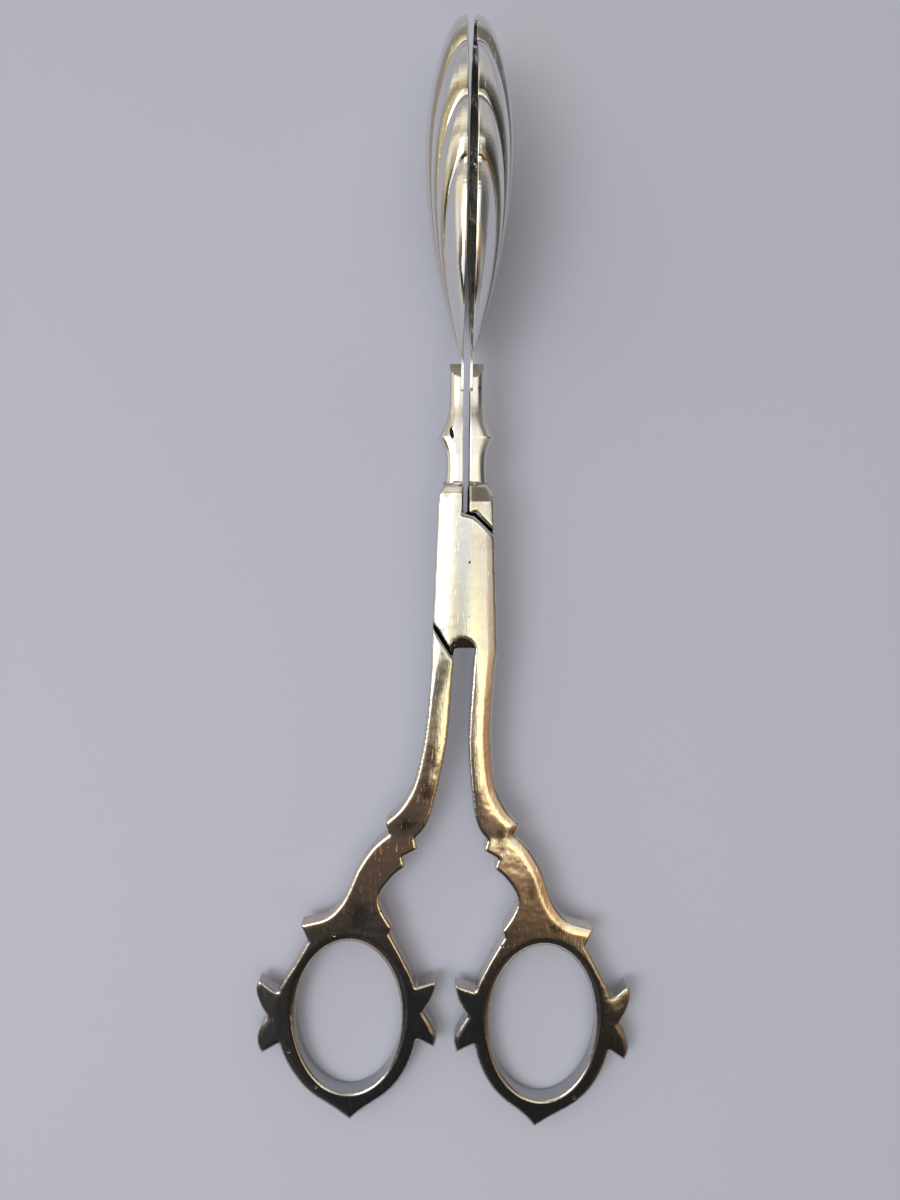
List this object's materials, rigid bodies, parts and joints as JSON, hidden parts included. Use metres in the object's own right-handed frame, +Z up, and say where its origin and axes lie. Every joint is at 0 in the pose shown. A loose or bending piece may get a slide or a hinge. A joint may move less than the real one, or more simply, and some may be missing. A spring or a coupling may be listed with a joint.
{
  "type": "serving tongs",
  "caption": "Scissor-handled serving tongs: crossed cast arms in a half-lap pivot, oval finger rings, knopped necks and fluted shell bowls that close face to face.",
  "frame": {"origin": "middle of the bounding box's bottom, on the surface that the tongs lie on", "axes": "+Y from the finger rings to the bowl tips, +Z up out of the surface, +X to the right when seen from above"},
  "size_m": [0.0794, 0.2278, 0.0363],
  "materials": {
    "handle_metal": "polished cast silver, warm brown tarnish on the grips",
    "neck_metal": "polished cast silver with casting pits",
    "bowl_sheet": "polished silver sheet with fine polishing ripples",
    "screw_metal": "worn silver-plated screw"
  },
  "bodies": {
    "front_arm": {"front_handle": "handle_metal", "front_neck": "neck_metal", "front_bowl": "bowl_sheet", "pivot_screw": "screw_metal"},
    "rear_arm": {"rear_handle": "handle_metal", "rear_neck": "neck_metal", "rear_bowl": "bowl_sheet"}
  },
  "joints": [
    {"name": "pivot", "type": "hinge", "parent": "front_arm", "child": "rear_arm", "pos_m": [0.00309, 0.0032, 0.0116], "axis": [0, -0.0819, 0.9966], "range_deg": [-110, 0.6]}
  ]
}
